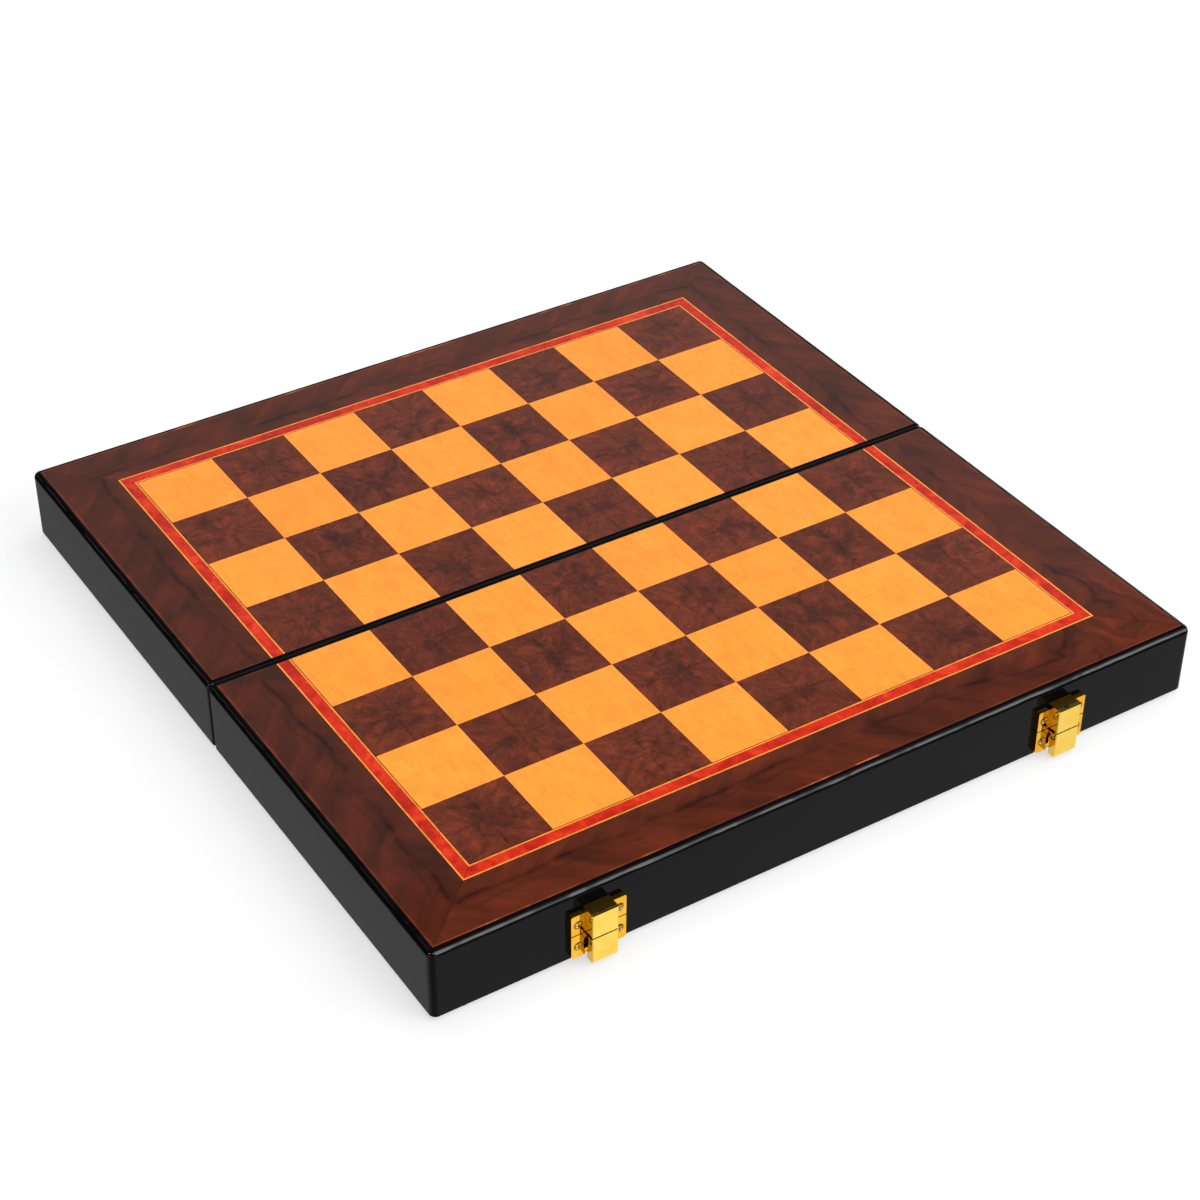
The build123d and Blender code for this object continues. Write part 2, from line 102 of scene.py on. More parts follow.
floor_mesh = bpy.data.meshes.new("floor")
bm = bmesh.new()
bmesh.ops.create_grid(bm, x_segments=8, y_segments=8, size=6.0)
bm.to_mesh(floor_mesh)
bm.free()
floor = bpy.data.objects.new("floor", floor_mesh)
scene.collection.objects.link(floor)


# ---- node helpers --------------------------------------------------------
class Mat:
    """A node material: small helpers that return output sockets."""

    def __init__(self, name):
        self.mat = bpy.data.materials.new(name)
        self.mat.use_nodes = True
        self.nt = self.mat.node_tree
        self.nt.nodes.clear()
        self.bsdf = self.nt.nodes.new("ShaderNodeBsdfPrincipled")
        out = self.nt.nodes.new("ShaderNodeOutputMaterial")
        self.nt.links.new(self.bsdf.outputs[0], out.inputs[0])
        co = self.nt.nodes.new("ShaderNodeTexCoord")
        self.p = co.outputs["Object"]

    def put(self, socket, value):
        if isinstance(value, bpy.types.NodeSocket):
            self.nt.links.new(value, socket)
        elif socket.type == "RGBA" and len(value) == 3:
            socket.default_value = (*value, 1.0)
        else:
            socket.default_value = value

    def set(self, **values):
        for key, value in values.items():
            self.put(self.bsdf.inputs[key.replace("_", " ")], value)

    def math(self, op, a, b=0.0, clamp=False):
        n = self.nt.nodes.new("ShaderNodeMath")
        n.operation, n.use_clamp = op, clamp
        self.put(n.inputs[0], a)
        self.put(n.inputs[1], b)
        return n.outputs[0]

    def add(self, a, b):
        return self.math("ADD", a, b)

    def sub(self, a, b):
        return self.math("SUBTRACT", a, b)

    def mul(self, a, b):
        return self.math("MULTIPLY", a, b)

    def vec(self, op, a, b=(0, 0, 0)):
        n = self.nt.nodes.new("ShaderNodeVectorMath")
        n.operation = op
        self.put(n.inputs[0], a)
        if op == "SCALE":
            self.put(n.inputs["Scale"], b)
        else:
            self.put(n.inputs[1], b)
        return n.outputs["Value"] if op in ("LENGTH", "DISTANCE", "DOT_PRODUCT") else n.outputs[0]

    def split(self, v):
        n = self.nt.nodes.new("ShaderNodeSeparateXYZ")
        self.put(n.inputs[0], v)
        return n.outputs[0], n.outputs[1], n.outputs[2]

    def join(self, x, y, z=0.0):
        n = self.nt.nodes.new("ShaderNodeCombineXYZ")
        for i, value in enumerate((x, y, z)):
            self.put(n.inputs[i], value)
        return n.outputs[0]

    def noise(self, v, scale, detail=4.0, rough=0.5, distortion=0.0, colour=False, dims="3D", w=0.0):
        n = self.nt.nodes.new("ShaderNodeTexNoise")
        n.noise_dimensions = dims
        self.put(n.inputs["Vector"], v)
        if dims == "4D":
            self.put(n.inputs["W"], w)
        self.put(n.inputs["Scale"], scale)
        self.put(n.inputs["Detail"], detail)
        self.put(n.inputs["Roughness"], rough)
        self.put(n.inputs["Distortion"], distortion)
        return n.outputs["Color"] if colour else n.outputs["Fac"]

    def white(self, v):
        n = self.nt.nodes.new("ShaderNodeTexWhiteNoise")
        n.noise_dimensions = "3D"
        self.put(n.inputs["Vector"], v)
        return n.outputs["Value"]

    def voronoi(self, v, scale, feature="F1", rand=1.0):
        n = self.nt.nodes.new("ShaderNodeTexVoronoi")
        n.feature = feature
        self.put(n.inputs["Vector"], v)
        self.put(n.inputs["Scale"], scale)
        self.put(n.inputs["Randomness"], rand)
        return n.outputs["Distance"]

    def ramp(self, fac, *stops, smooth=False):
        n = self.nt.nodes.new("ShaderNodeValToRGB")
        n.color_ramp.interpolation = "EASE" if smooth else "LINEAR"
        els = n.color_ramp.elements
        while len(els) < len(stops):
            els.new(0.5)
        for e, (at, colour) in zip(els, stops):
            e.position = at
            if isinstance(colour, (int, float)):
                colour = (colour,) * 3
            e.color = (*colour, 1.0)
        self.put(n.inputs[0], fac)
        return n.outputs[0]

    def span(self, value, a, b, to_a=0.0, to_b=1.0, smooth=True):
        n = self.nt.nodes.new("ShaderNodeMapRange")
        n.interpolation_type = "SMOOTHSTEP" if smooth else "LINEAR"
        self.put(n.inputs["Value"], value)
        for key, v in (("From Min", a), ("From Max", b), ("To Min", to_a), ("To Max", to_b)):
            self.put(n.inputs[key], v)
        return n.outputs[0]

    def mix(self, fac, a, b, mode="MIX"):
        n = self.nt.nodes.new("ShaderNodeMix")
        n.data_type, n.blend_type = "RGBA", mode
        self.put(n.inputs[0], fac)
        self.put(n.inputs[6], a)
        self.put(n.inputs[7], b)
        return n.outputs[2]

    def bump(self, height, distance, strength=1.0, under=None):
        n = self.nt.nodes.new("ShaderNodeBump")
        self.put(n.inputs["Strength"], strength)
        self.put(n.inputs["Distance"], distance)
        self.put(n.inputs["Height"], height)
        if under is not None:
            self.put(n.inputs["Normal"], under)
        return n.outputs[0]


def floor_paper():
    """Pale floor that lets part of the light from below through, so that a half that folds under it still shows. Polished pieces look through it at the studio's ground."""
    m = Mat("floor_paper")
    m.nt.nodes.remove(m.bsdf)
    n = m.noise(m.p, 40.0, 3.0, 0.5)
    diffuse = m.nt.nodes.new("ShaderNodeBsdfDiffuse")
    m.put(diffuse.inputs["Color"], m.mix(n, (0.93, 0.93, 0.935), (0.96, 0.96, 0.96)))
    clear = m.nt.nodes.new("ShaderNodeBsdfTransparent")
    both = m.nt.nodes.new("ShaderNodeMixShader")
    x, y, _ = m.split(m.p)
    away = m.vec("LENGTH", m.join(x, y))
    path = m.nt.nodes.new("ShaderNodeLightPath")
    solid = m.mul(m.span(away, 0.26, 0.62, 0.38, 0.0), m.sub(1.0, path.outputs["Is Glossy Ray"]))
    m.put(both.inputs[0], solid)
    m.nt.links.new(clear.outputs[0], both.inputs[1])
    m.nt.links.new(diffuse.outputs[0], both.inputs[2])
    out = next(x for x in m.nt.nodes if x.type == "OUTPUT_MATERIAL")
    m.nt.links.new(both.outputs[0], out.inputs[0])
    return m.mat


floor_mesh.materials.append(floor_paper())


def dress(material, *names):
    for name in names:
        ob = nodes[name]
        ob.data.materials.clear()
        ob.data.materials.append(material)


COAT_IOR = 1.29


def lacquered(m, colour, height=None, rough=0.45):
    """Wood under a thick, polished clear lacquer."""
    m.set(Base_Color=colour, Roughness=rough, Specular_IOR_Level=0.03)
    m.set(Coat_Weight=1.0, Coat_Roughness=0.012, Coat_IOR=COAT_IOR)
    wave = m.noise(m.p, 75.0, 2.0, 0.4)
    m.put(m.bsdf.inputs["Coat Normal"], m.bump(wave, 0.00006, 0.35))
    if height is not None:
        m.put(m.bsdf.inputs["Normal"], m.bump(height, 0.0002, 0.35))
    return m.mat


# ---- black lacquer of the case -------------------------------------------
def black_lacquer():
    m = Mat("black_lacquer")
    cloud = m.noise(m.p, 26.0, 3.0, 0.55)
    colour = m.mix(cloud, (0.0020, 0.0020, 0.0022), (0.0042, 0.0041, 0.0041))
    smear = m.noise(m.vec("MULTIPLY", m.p, (1.0, 1.0, 3.0)), 60.0, 5.0, 0.6)
    rough = m.span(smear, 0.35, 0.75, 0.022, 0.060)
    m.set(Base_Color=colour, Roughness=rough, IOR=1.165)
    # the flats are polished true; the rounded top edges carry more clear lacquer, buffed by hand into soft waves
    _, y, z = m.split(m.p)
    edge = m.span(z, 0.0263, 0.0270)
    wave = m.noise(m.vec("MULTIPLY", m.p, (1.0, 1.0, 1.4)), 46.0, 1.5, 0.5, 0.4)
    small = m.noise(m.p, 140.0, 1.0, 0.5)
    fine = m.noise(m.p, 900.0, 2.0, 0.5)
    long_ = m.noise(m.p, 24.0, 1.0, 0.5)
    height = m.add(m.add(wave, m.mul(small, 0.11)), m.add(m.mul(fine, 0.0006), m.mul(long_, 0.2)))
    normal = m.bump(height, 0.0042, m.add(0.010, m.mul(edge, 0.42)))
    m.put(m.bsdf.inputs["Normal"], normal)
    patch = m.noise(m.vec("MULTIPLY", m.p, (1.0, 0.6, 1.6)), 84.0, 1.2, 0.5, 0.6)
    run = m.span(patch, 0.34, 0.58, 0.42, 1.15)
    lower = m.span(z, m.add(0.02655, m.mul(patch, 0.0005)), 0.0272)
    upper = m.span(z, m.add(0.02794, m.mul(patch, 0.0004)), 0.02778)
    x, _, _ = m.split(m.p)
    ends = m.mul(m.span(m.math("ABSOLUTE", x), 0.1476, 0.1484), m.span(m.math("ABSOLUTE", y), 0.0032, 0.0024))
    thick = m.mul(m.mul(lower, upper), m.math("MAXIMUM", m.span(m.math("ABSOLUTE", y), 0.1477, 0.1484), ends))
    thick = m.math("MINIMUM", m.mul(thick, run), 1.0)
    m.set(Coat_Weight=thick, Coat_Roughness=0.05, Coat_IOR=1.8)
    m.put(m.bsdf.inputs["Coat Normal"], normal)
    return m.mat


# ---- veneers -------------------------------------------------------------
GRID_X, SEAM_Y, SQUARE = -0.120, 0.0019, 0.030


def cell(m):
    """Place inside a square, from -0.5 to 0.5 on X and Y, and a number that is the square's own."""
    x, y, _ = m.split(m.p)
    u = m.math("DIVIDE", m.sub(x, GRID_X), SQUARE)
    v = m.math("DIVIDE", m.sub(m.math("ABSOLUTE", y), SEAM_Y), SQUARE)
    iu, iv = m.math("FLOOR", u), m.math("FLOOR", v)
    fu, fv = m.sub(m.sub(u, iu), 0.5), m.sub(m.sub(v, iv), 0.5)
    back = m.math("GREATER_THAN", y, 0.0)
    own = m.white(m.join(m.add(iu, 0.5), m.add(iv, 0.5), m.add(back, 0.5)))
    return fu, fv, own


def dark_veneer():
    m = Mat("dark_veneer")
    fu, fv, own = cell(m)
    au, av = m.math("ABSOLUTE", fu), m.math("ABSOLUTE", fv)
    # four matched quarters: the flame runs out from near the middle, and leans differently in each square
    warp = m.noise(m.join(m.mul(fu, 1.0), m.mul(fv, 1.0), m.mul(own, 9.0)), 4.2, 3.0, 0.55, 0.3, colour=True)
    wu, wv, _ = m.split(m.vec("SUBTRACT", warp, (0.5, 0.5, 0.5)))
    qu, qv = m.add(au, m.mul(wu, 0.26)), m.add(av, m.mul(wv, 0.26))
    lean = m.span(own, 0.0, 1.0, 0.55, 1.5, smooth=False)
    across = m.sub(qu, m.mul(qv, lean))
    down = m.add(m.mul(qu, lean), qv)
    flame = m.noise(m.join(m.mul(across, 5.4), m.mul(down, 1.9), m.mul(own, 9.0)), 2.0, 5.0, 0.60, 0.5)
    fine = m.noise(m.join(m.mul(across, 19.0), m.mul(down, 4.5), m.mul(own, 4.0)), 2.0, 4.0, 0.6, 0.2)
    whole = m.noise(m.join(fu, fv, m.mul(own, 5.0)), 3.4, 4.0, 0.6, 0.8)
    figure = m.add(m.add(m.mul(flame, 0.52), m.mul(fine, 0.16)), m.mul(whole, 0.32))
    colour = m.ramp(
        figure,
        (0.29, (0.034, 0.0072, 0.0036)),
        (0.40, (0.072, 0.0140, 0.0060)),
        (0.50, (0.112, 0.0200, 0.0078)),
        (0.59, (0.168, 0.0270, 0.0090)),
        (0.70, (0.235, 0.0370, 0.0105)),
    )
    # the joints between the quarters read as soft, broken dark lines
    jitter = m.mul(m.sub(whole, 0.5), 0.055)
    joint = m.math("MINIMUM", m.math("ABSOLUTE", m.add(fu, jitter)), m.math("ABSOLUTE", m.sub(fv, jitter)))
    broken = m.span(m.noise(m.join(m.mul(fu, 5.0), m.mul(fv, 5.0), own), 2.0, 2.0, 0.5), 0.38, 0.62, 0.10, 1.0)
    shade = m.sub(1.0, m.mul(m.span(joint, 0.0, 0.030, 0.40, 0.0), broken))
    cu = m.add(fu, m.mul(m.sub(m.white(m.join(own, 0.3, 0.1)), 0.5), 0.34))
    cv = m.add(fv, m.mul(m.sub(m.white(m.join(own, 0.7, 0.2)), 0.5), 0.34))
    r = m.math("POWER", m.add(m.mul(cu, cu), m.mul(cv, cv)), 0.5)
    core = m.span(m.add(r, m.mul(m.sub(whole, 0.5), 1.5)), 0.0, 0.34, 0.70, 1.0)
    pores = m.noise(m.join(m.mul(fu, 26.0), m.mul(fv, 9.0), own), 5.0, 3.0, 0.6)
    pore = m.span(pores, 0.30, 0.48, 0.86, 1.0)
    k = m.mul(m.mul(shade, core), pore)
    tone = m.span(own, 0.0, 1.0, 0.90, 1.14, smooth=False)
    k = m.mul(k, tone)
    colour = m.mix(1.0, colour, m.join(k, k, k), "MULTIPLY")
    return lacquered(m, colour, figure)


def light_veneer():
    m = Mat("light_veneer")
    fu, fv, own = cell(m)
    au, av = m.math("ABSOLUTE", fu), m.math("ABSOLUTE", fv)
    fibre = m.noise(m.join(m.mul(fu, 3.0), m.mul(fv, 24.0), m.mul(own, 11.0)), 3.0, 4.0, 0.55, 0.3)
    curl = m.noise(m.join(m.mul(fu, 7.0), m.mul(fv, 1.6), m.mul(own, 5.0)), 2.2, 3.0, 0.5, 1.2)
    cloud = m.noise(m.join(fu, fv, m.mul(own, 3.0)), 2.4, 2.0, 0.5)
    figure = m.add(m.add(m.mul(fibre, 0.30), m.mul(curl, 0.40)), m.mul(cloud, 0.30))
    colour = m.ramp(
        figure,
        (0.30, (0.84, 0.235, 0.026)),
        (0.48, (0.95, 0.300, 0.035)),
        (0.62, (1.00, 0.342, 0.042)),
        (0.80, (1.00, 0.385, 0.054)),
    )
    broken = m.noise(m.join(m.mul(fu, 9.0), m.mul(fv, 9.0), own), 3.0, 2.0, 0.5)
    joint = m.math("MINIMUM", au, av)
    line = m.mul(m.span(joint, 0.0, 0.012, 1.0, 0.0), m.span(broken, 0.42, 0.62, 0.0, 1.0))
    flecks = m.noise(m.join(m.mul(fu, 6.0), m.mul(fv, 70.0), own), 3.0, 2.0, 0.6)
    fleck = m.span(flecks, 0.60, 0.74, 0.0, 0.35)
    k = m.sub(1.0, m.add(m.mul(line, 0.16), m.mul(fleck, 0.22)))
    tone = m.span(own, 0.0, 1.0, 0.965, 1.02, smooth=False)
    k = m.mul(k, tone)
    colour = m.mix(1.0, colour, m.join(k, m.math("POWER", k, 1.6), m.math("POWER", k, 2.0)), "MULTIPLY")
    return lacquered(m, colour, figure, 0.40)


OUT_X, OUT_Y = 0.1475, 0.1475
IN_X, IN_Y = 0.1254, 0.1273


def border_veneer(name, along_x):
    """Figured border veneer: a dark vein wanders down the strip, and the flame feathers away from it to both edges."""
    m = Mat(name)
    x, y, _ = m.split(m.p)
    ax, ay = m.math("ABSOLUTE", x), m.math("ABSOLUTE", y)
    side = m.math("GREATER_THAN", y, 0.0)
    hand = m.math("GREATER_THAN", x, 0.0)
    if along_x:
        along, off, mirror = x, m.sub(ay, IN_Y), ax
    else:
        along, off, mirror = y, m.sub(ax, IN_X), ay
    seed = m.add(m.mul(side, 3.7), m.mul(hand, 0.0 if along_x else 1.9))
    # one end of each strip is cut from the burl, where the figure swirls
    burl_end = m.vec("LENGTH", m.join(m.sub(x, 0.128), m.add(y, 0.134)))
    swirl = m.span(burl_end, 0.006, 0.062, 1.0, 0.0)
    warp = m.noise(m.p, 44.0, 3.0, 0.5, 0.5, colour=True)
    warp = m.vec("SUBTRACT", warp, (0.5, 0.5, 0.5))
    warp = m.vec("SCALE", warp, m.add(0.009, m.mul(swirl, 0.036)))
    wx, wy, _ = m.split(warp)
    s_, o_ = m.add(along, wx), m.add(off, wy)
    wander = m.noise(m.join(m.mul(along, 17.0), seed, 0.0), 1.0, 3.0, 0.55)
    d = m.sub(o_, m.add(0.0068, m.mul(m.sub(wander, 0.5), 0.0085)))
    ad = m.math("ABSOLUTE", d)
    lean = m.sub(s_, m.mul(ad, 1.15)) if along_x else m.add(s_, m.mul(ad, 1.15))
    low = m.math("GREATER_THAN", d, 0.0)
    bank = m.add(seed, m.mul(low, 6.3))
    feather = m.noise(m.join(m.mul(lean, 96.0), m.mul(ad, 40.0), bank), 1.0, 3.5, 0.52, 0.45)
    fine = m.noise(m.join(m.mul(lean, 420.0), m.mul(ad, 90.0), bank), 1.0, 4.0, 0.6, 0.2)
    cloud = m.noise(m.vec("ADD", m.p, warp), 34.0, 4.0, 0.55, 0.5)
    figure = m.add(m.add(m.mul(feather, 0.46), m.mul(fine, 0.12)), m.mul(cloud, 0.42))
    colour = m.ramp(
        figure,
        (0.29, (0.030, 0.0064, 0.0032)),
        (0.41, (0.054, 0.0106, 0.0047)),
        (0.50, (0.080, 0.0146, 0.0058)),
        (0.60, (0.116, 0.0192, 0.0067)),
        (0.73, (0.172, 0.0270, 0.0082)),
    )
    # the vein, darkest where it is narrow, with a fainter one beside it
    worn = m.span(m.noise(m.join(m.mul(along, 50.0), m.mul(off, 50.0), seed), 1.0, 3.0, 0.6), 0.36, 0.66, 0.10, 1.0)
    vein_a = m.span(ad, 0.0, 0.0015, 0.42, 0.0)
    vein_b = m.span(m.math("ABSOLUTE", m.sub(d, 0.0042)), 0.0, 0.0013, 0.26, 0.0)
    soft = m.span(ad, 0.0, 0.0050, 0.26, 0.0)
    vein = m.mul(m.add(m.add(vein_a, vein_b), soft), worn)
    k = m.sub(1.0, m.math("MINIMUM", vein, 0.68))
    colour = m.mix(1.0, colour, m.join(k, k, k), "MULTIPLY")
    # painted light and shade: the front and back strips are painted lighter towards the front of the board, the side
    # strips darker on the left than on the right
    light_level = m.span(y, -0.10, 0.10, 1.08, 1.0) if along_x else m.span(x, -0.10, 0.10, 0.83, 0.97)
    colour = m.mix(1.0, colour, m.join(light_level, light_level, light_level), "MULTIPLY")
    # the mitre
    run, rise = OUT_X - IN_X, OUT_Y - IN_Y
    span_ = math.hypot(run, rise)
    mitre = m.math("ABSOLUTE", m.sub(m.mul(m.sub(ax, IN_X), rise / span_), m.mul(m.sub(ay, IN_Y), run / span_)))
    dark = m.mul(m.span(mitre, 0.0, 0.0007, 0.22, 0.0), m.span(ay, 0.120, 0.126, 0.0, 1.0))
    k2 = m.sub(1.0, dark)
    colour = m.mix(1.0, colour, m.join(k2, k2, k2), "MULTIPLY")
    # painted highlight: a lighter orange glow is painted into the wood along the outer edge, most along the front, in
    # place of light caught in the clear lacquer there
    thick = m.noise(m.p, 95.0, 3.0, 0.5)
    front = m.sub(OUT_Y, ay)
    flank = m.sub(OUT_X, ax)
    seam = m.sub(ay, SEAM_Y)
    wide = m.add(0.00030, m.mul(thick, 0.0010))
    lit_ = m.span(m.noise(m.p, 32.0, 2.0, 0.5), 0.38, 0.62, 0.18, 1.0)
    painted_glow_front = m.mul(m.mul(m.span(front, 0.00005, wide, 1.0, 0.0), m.span(thick, 0.36, 0.62, 0.25, 0.90)), lit_)
    painted_glow_side = m.mul(m.span(flank, 0.00005, m.mul(wide, 1.3), 0.40, 0.0), m.span(thick, 0.38, 0.66, 0.20, 0.80))
    painted_glow_seam = m.mul(m.span(seam, 0.00008, m.mul(wide, 0.50), 1.0, 0.0), m.span(thick, 0.42, 0.66, 0.05, 0.50))
    painted_glow = m.math("MAXIMUM", m.math("MAXIMUM", painted_glow_front, painted_glow_side), painted_glow_seam)
    # the painted highlight colour goes over the wood here, lighter where the painted glow is strongest
    colour = m.mix(painted_glow, colour, m.mix(m.span(painted_glow, 0.45, 0.9), (0.42, 0.070, 0.014), (0.80, 0.200, 0.060)))
    return lacquered(m, colour, figure)


def red_band():
    m = Mat("red_inlay")
    blot = m.noise(m.p, 190.0, 4.0, 0.6, 0.8)
    big = m.noise(m.p, 60.0, 3.0, 0.55, 0.5)
    figure = m.add(m.mul(blot, 0.62), m.mul(big, 0.38))
    colour = m.ramp(
        figure,
        (0.30, (0.27, 0.0070, 0.0025)),
        (0.43, (0.44, 0.0130, 0.0040)),
        (0.54, (0.60, 0.0230, 0.0060)),
        (0.68, (0.76, 0.0600, 0.0110)),
    )
    x, y, _ = m.split(m.p)
    mitre = m.math("ABSOLUTE", m.sub(m.sub(m.math("ABSOLUTE", x), 0.121), m.sub(m.math("ABSOLUTE", y), 0.1229)))
    line = m.mul(m.span(mitre, 0.0, 0.00035, 0.55, 0.0), m.span(m.math("ABSOLUTE", y), 0.118, 0.1225, 0.0, 1.0))
    k = m.sub(1.0, line)
    colour = m.mix(1.0, colour, m.join(k, k, k), "MULTIPLY")
    return lacquered(m, colour, figure)


def stringing():
    m = Mat("stringing")
    fibre = m.noise(m.p, 420.0, 4.0, 0.6)
    long_ = m.noise(m.p, 70.0, 3.0, 0.5)
    colour = m.ramp(
        m.add(m.mul(fibre, 0.5), m.mul(long_, 0.5)),
        (0.34, (0.58, 0.165, 0.018)),
        (0.50, (0.80, 0.275, 0.034)),
        (0.66, (0.94, 0.370, 0.055)),
    )
    return lacquered(m, colour, fibre)


def dark_line():
    m = Mat("line_inlay")
    n = m.noise(m.p, 260.0, 4.0, 0.6)
    colour = m.ramp(n, (0.35, (0.018, 0.006, 0.004)), (0.65, (0.080, 0.024, 0.012)))
    return lacquered(m, colour, n)


def fibreboard():
    m = Mat("panel_core")
    n = m.noise(m.p, 900.0, 5.0, 0.7)
    big = m.noise(m.p, 90.0, 3.0, 0.5)
    colour = m.mix(m.add(m.mul(n, 0.7), m.mul(big, 0.3)), (0.20, 0.12, 0.062), (0.42, 0.29, 0.17))
    m.set(Base_Color=colour, Roughness=0.85)
    m.put(m.bsdf.inputs["Normal"], m.bump(n, 0.0002, 0.5))
    return m.mat


# ---- soft lining ---------------------------------------------------------
def velvet(name, low, high, fluff=1500.0):
    m = Mat(name)
    brushed = m.noise(m.vec("MULTIPLY", m.p, (1.0, 1.7, 1.0)), 45.0, 4.0, 0.6, 1.1)
    pile = m.noise(m.p, fluff, 3.0, 0.6)
    mix = m.add(m.mul(brushed, 0.55), m.mul(pile, 0.45))
    colour = m.ramp(mix, (0.30, low), (0.70, high))
    m.set(Base_Color=colour, Roughness=0.92, Specular_IOR_Level=0.1)
    m.set(Sheen_Weight=0.7, Sheen_Roughness=0.35, Sheen_Tint=(high[0] * 2.2, high[1] * 2.2, high[2] * 2.2))
    m.put(m.bsdf.inputs["Normal"], m.bump(m.add(m.mul(pile, 0.6), brushed), 0.0004, 0.6))
    return m.mat


def felt():
    m = Mat("felt")
    fibre = m.noise(m.vec("MULTIPLY", m.p, (1.0, 1.0, 2.5)), 1700.0, 4.0, 0.7, 1.5)
    cloud = m.noise(m.p, 300.0, 3.0, 0.6)
    colour = m.ramp(m.add(m.mul(fibre, 0.6), m.mul(cloud, 0.4)), (0.3, (0.008, 0.008, 0.009)), (0.75, (0.055, 0.052, 0.052)))
    m.set(Base_Color=colour, Roughness=0.95, Specular_IOR_Level=0.1)
    m.set(Sheen_Weight=0.4, Sheen_Roughness=0.5, Sheen_Tint=(0.3, 0.3, 0.3))
    m.put(m.bsdf.inputs["Normal"], m.bump(fibre, 0.0003, 0.8))
    return m.mat


# ---- metal ---------------------------------------------------------------
SCREW_ROWS = (0.01655, 0.00765, 0.00710)


def gold(name, base, deep, rough_lo, rough_hi, brush=(1.0, 1.0, 1.0), grain=0.04, ring=None, wings=None):
    """Gold plate. ring gives the radii between which plate and screw are painted dark round each face screw, a painted
    shadow of the gap round the head; wings a colour, painted darker as shade, for plate within 3 mm of the case."""
    m = Mat(name)
    cloud = m.noise(m.p, 160.0, 4.0, 0.6)
    colour = m.mix(m.span(cloud, 0.35, 0.75), base, deep)
    # painted shade: the plate within 3 mm of the case is painted a darker, deeper gold than the rest of the plate
    if wings is not None:
        _, depth, _ = m.split(m.p)
        case_shade = m.span(m.math("ABSOLUTE", depth), 0.1522, 0.1534, 1.0, 0.0)
        colour = m.mix(m.mul(case_shade, m.span(cloud, 0.30, 0.70, 0.55, 1.0)), colour, wings)
    lines = m.noise(m.vec("MULTIPLY", m.p, brush), 900.0, 4.0, 0.65)
    rough = m.span(m.add(m.mul(cloud, 0.5), m.mul(lines, 0.5)), 0.35, 0.70, rough_lo, rough_hi)
    # painted shadow: a dark ring is painted between plate and screw round each face screw, where the gap round the head
    # lies in shade
    if ring is not None:
        x, _, z = m.split(m.p)
        dx = m.sub(m.math("ABSOLUTE", m.sub(m.math("ABSOLUTE", x), 0.092)), 0.00745)
        dz = None
        for row in SCREW_ROWS[:2]:
            one = m.math("ABSOLUTE", m.sub(z, row))
            dz = one if dz is None else m.math("MINIMUM", dz, one)
        r = m.math("POWER", m.add(m.mul(dx, dx), m.mul(dz, dz)), 0.5)
        edge = m.mul(m.span(r, ring[0], ring[0] + 0.00018, 0.0, 1.0), m.span(r, ring[1] - 0.00012, ring[1] + 0.00012, 1.0, 0.0))
        colour = m.mix(m.mul(edge, ring[2]), colour, (0.10, 0.040, 0.008))
        rough = m.add(rough, m.mul(edge, 0.15))
    m.set(Base_Color=colour, Metallic=1.0, Roughness=rough)
    wave = m.noise(m.p, 210.0, 2.0, 0.5)
    height = m.add(m.mul(wave, 0.5), m.mul(lines, grain))
    m.put(m.bsdf.inputs["Normal"], m.bump(height, 0.00012, 0.30))
    return m.mat


# ---- dress the frame -----------------------------------------------------
black = black_lacquer()
dark, light = dark_veneer(), light_veneer()
border_x = border_veneer("border_veneer_front_grain", True)
border_y = border_veneer("border_veneer_side_grain", False)
red, string, thin = red_band(), stringing(), dark_line()
core = fibreboard()
lining = velvet("lining_velvet", (0.060, 0.0030, 0.0050), (0.20, 0.0120, 0.018))
board_velvet = velvet("divider_velvet", (0.070, 0.0035, 0.0060), (0.23, 0.0140, 0.022), 1700.0)
black_felt = felt()
clasp_gold = gold("clasp_gold", (0.985, 0.680, 0.120), (0.95, 0.600, 0.080), 0.050, 0.095, ring=(0.00150, 0.00172, 0.75), wings=(0.90, 0.43, 0.012))
hinge_gold = gold("hinge_gold", (0.93, 0.640, 0.200), (0.85, 0.560, 0.160), 0.22, 0.34, (0.15, 1.0, 1.0), 0.35)
screw_gold = gold("gold_screws", (0.960, 0.640, 0.150), (0.88, 0.540, 0.090), 0.12, 0.20, ring=(0.00108, 0.00160, 0.92))
hinge_screw_gold = gold("gold_hinge_screws", (0.960, 0.740, 0.270), (0.88, 0.640, 0.200), 0.14, 0.24)
wire = gold("pin_wire", (0.78, 0.660, 0.420), (0.66, 0.540, 0.330), 0.24, 0.36, (1.0, 1.0, 1.0), 0.15)

for half in ("front", "back"):
    dress(black, *[f"{half}_{s}_rail" for s in ("left", "right", "inner", "outer")])
    dress(core, f"{half}_top_panel")
    dress(light, f"{half}_light_squares")
    dress(dark, f"{half}_dark_squares")
    dress(thin, f"{half}_square_line")
    dress(string, f"{half}_inner_stringing", f"{half}_outer_stringing")
    dress(red, f"{half}_red_band")
    dress(border_x, f"{half}_border_outer")
    dress(border_y, f"{half}_border_left", f"{half}_border_right")
    dress(lining, f"{half}_floor_pad", f"{half}_wall_lining")
    dress(board_velvet, f"{half}_long_divider", f"{half}_major_dividers", f"{half}_pawn_dividers")
    dress(black_felt, f"{half}_felt_feet")
    dress(hinge_gold, f"{half}_hinge_leaves")
    dress(hinge_screw_gold, f"{half}_hinge_screws")
for side in ("left", "right"):
    dress(clasp_gold, f"clasp_upper_plate_{side}", f"clasp_lower_plate_{side}", f"clasp_lever_{side}")
    dress(clasp_gold, f"hasp_plate_{side}", f"hasp_strap_{side}")
dress(screw_gold, "clasp_screws", "hasp_screws")
